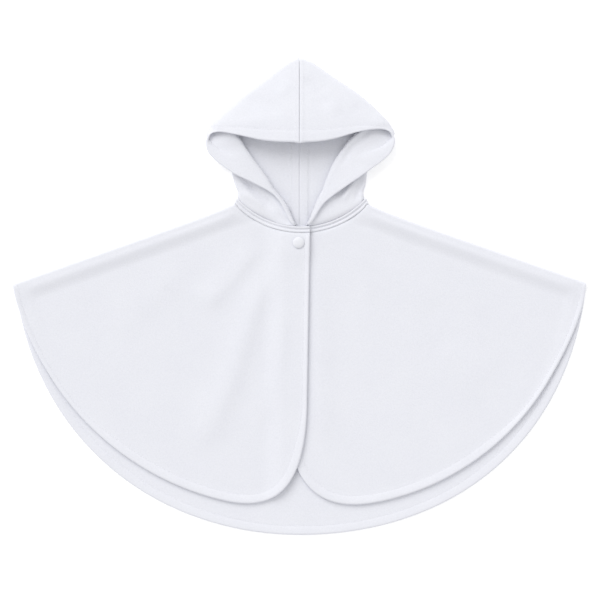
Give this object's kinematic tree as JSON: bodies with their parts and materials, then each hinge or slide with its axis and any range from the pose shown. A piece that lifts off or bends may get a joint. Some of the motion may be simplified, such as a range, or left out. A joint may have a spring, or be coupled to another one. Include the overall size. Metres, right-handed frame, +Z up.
{
  "type": "hooded baby cape",
  "caption": "Hooded baby cape in white fleece, laid flat front up, with a round hem, a peaked hood turned back at the face, a ridged neck band and a snap at the neck.",
  "frame": {"origin": "centre of the laid cape's footprint, on the surface that it lies on", "axes": "+X to the viewer's right over the laid cape, which is the wearer's left; +Y from the hem to the point of the hood; +Z up, towards the viewer"},
  "size_m": [0.6258, 0.52, 0.0235],
  "materials": {
    "fleece": "brushed, soft white nap",
    "snap": "matte white"
  },
  "bodies": {
    "root": {"back": "fleece", "front_left": "fleece", "front_right": "fleece", "hood_left": "fleece", "hood_right": "fleece", "neck_band": "fleece", "snap_cap": "snap", "snap_socket": "snap", "snap_stud": "snap"}
  },
  "joints": []
}
